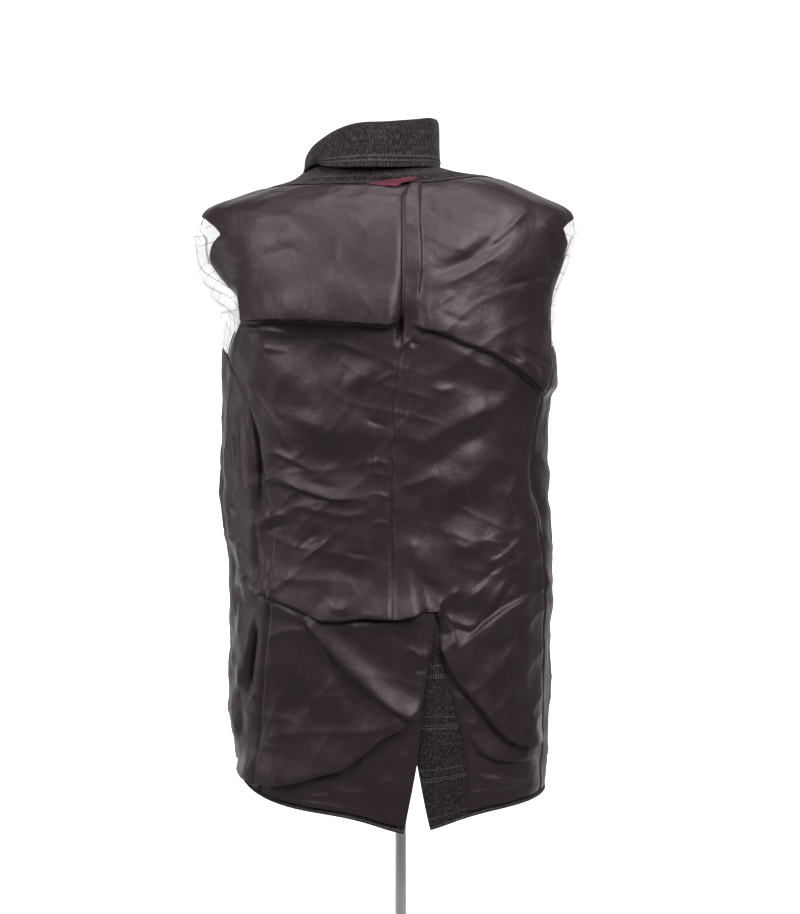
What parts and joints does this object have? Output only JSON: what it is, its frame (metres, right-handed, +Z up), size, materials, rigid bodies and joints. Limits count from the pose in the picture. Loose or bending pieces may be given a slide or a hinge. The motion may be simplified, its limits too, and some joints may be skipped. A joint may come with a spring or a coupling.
{
  "type": "wool coat on a dress form",
  "caption": "Lined charcoal wool coat worn inside out on a limbless dress form with a pole and round base: stand-and-fall collar, back vent, ease pleat, open armholes.",
  "frame": {"origin": "on the floor, under the middle of the whole: the centre of the underside of its bounding box", "axes": "+Z up; -Y is the side shown, the coat's back, with its lining outwards; +X is to the right of someone who looks at that back; left and right in the names are theirs too"},
  "size_m": [0.5118, 0.34, 1.4885],
  "materials": {
    "charcoal_wool": "napped charcoal wool with a faint light check",
    "dark_satin": "dark brown-black satin lining",
    "sleeve_satin": "white satin with fine grey stripes",
    "label_satin": "plain burgundy woven satin",
    "form_jersey": "plain pale jersey",
    "neck_cap": "smooth pale plastic",
    "pole_metal": "polished",
    "base_enamel": "smooth pale enamel"
  },
  "bodies": {
    "root": {"wool_back_left": "charcoal_wool", "wool_back_right": "charcoal_wool", "wool_front_left": "charcoal_wool", "wool_front_right": "charcoal_wool", "vent_facing": "charcoal_wool", "front_facing_left": "charcoal_wool", "front_facing_right": "charcoal_wool", "neck_facing": "charcoal_wool", "collar": "charcoal_wool", "sleeve_left": "charcoal_wool", "sleeve_right": "charcoal_wool", "lining_back_left": "dark_satin", "lining_back_right": "dark_satin", "lining_front_left": "dark_satin", "lining_front_right": "dark_satin", "sleeve_lining_left": "sleeve_satin", "sleeve_lining_right": "sleeve_satin", "neck_label": "label_satin", "form_torso": "form_jersey", "form_neck_cap": "neck_cap", "form_pole": "pole_metal", "form_base": "base_enamel"}
  },
  "joints": []
}
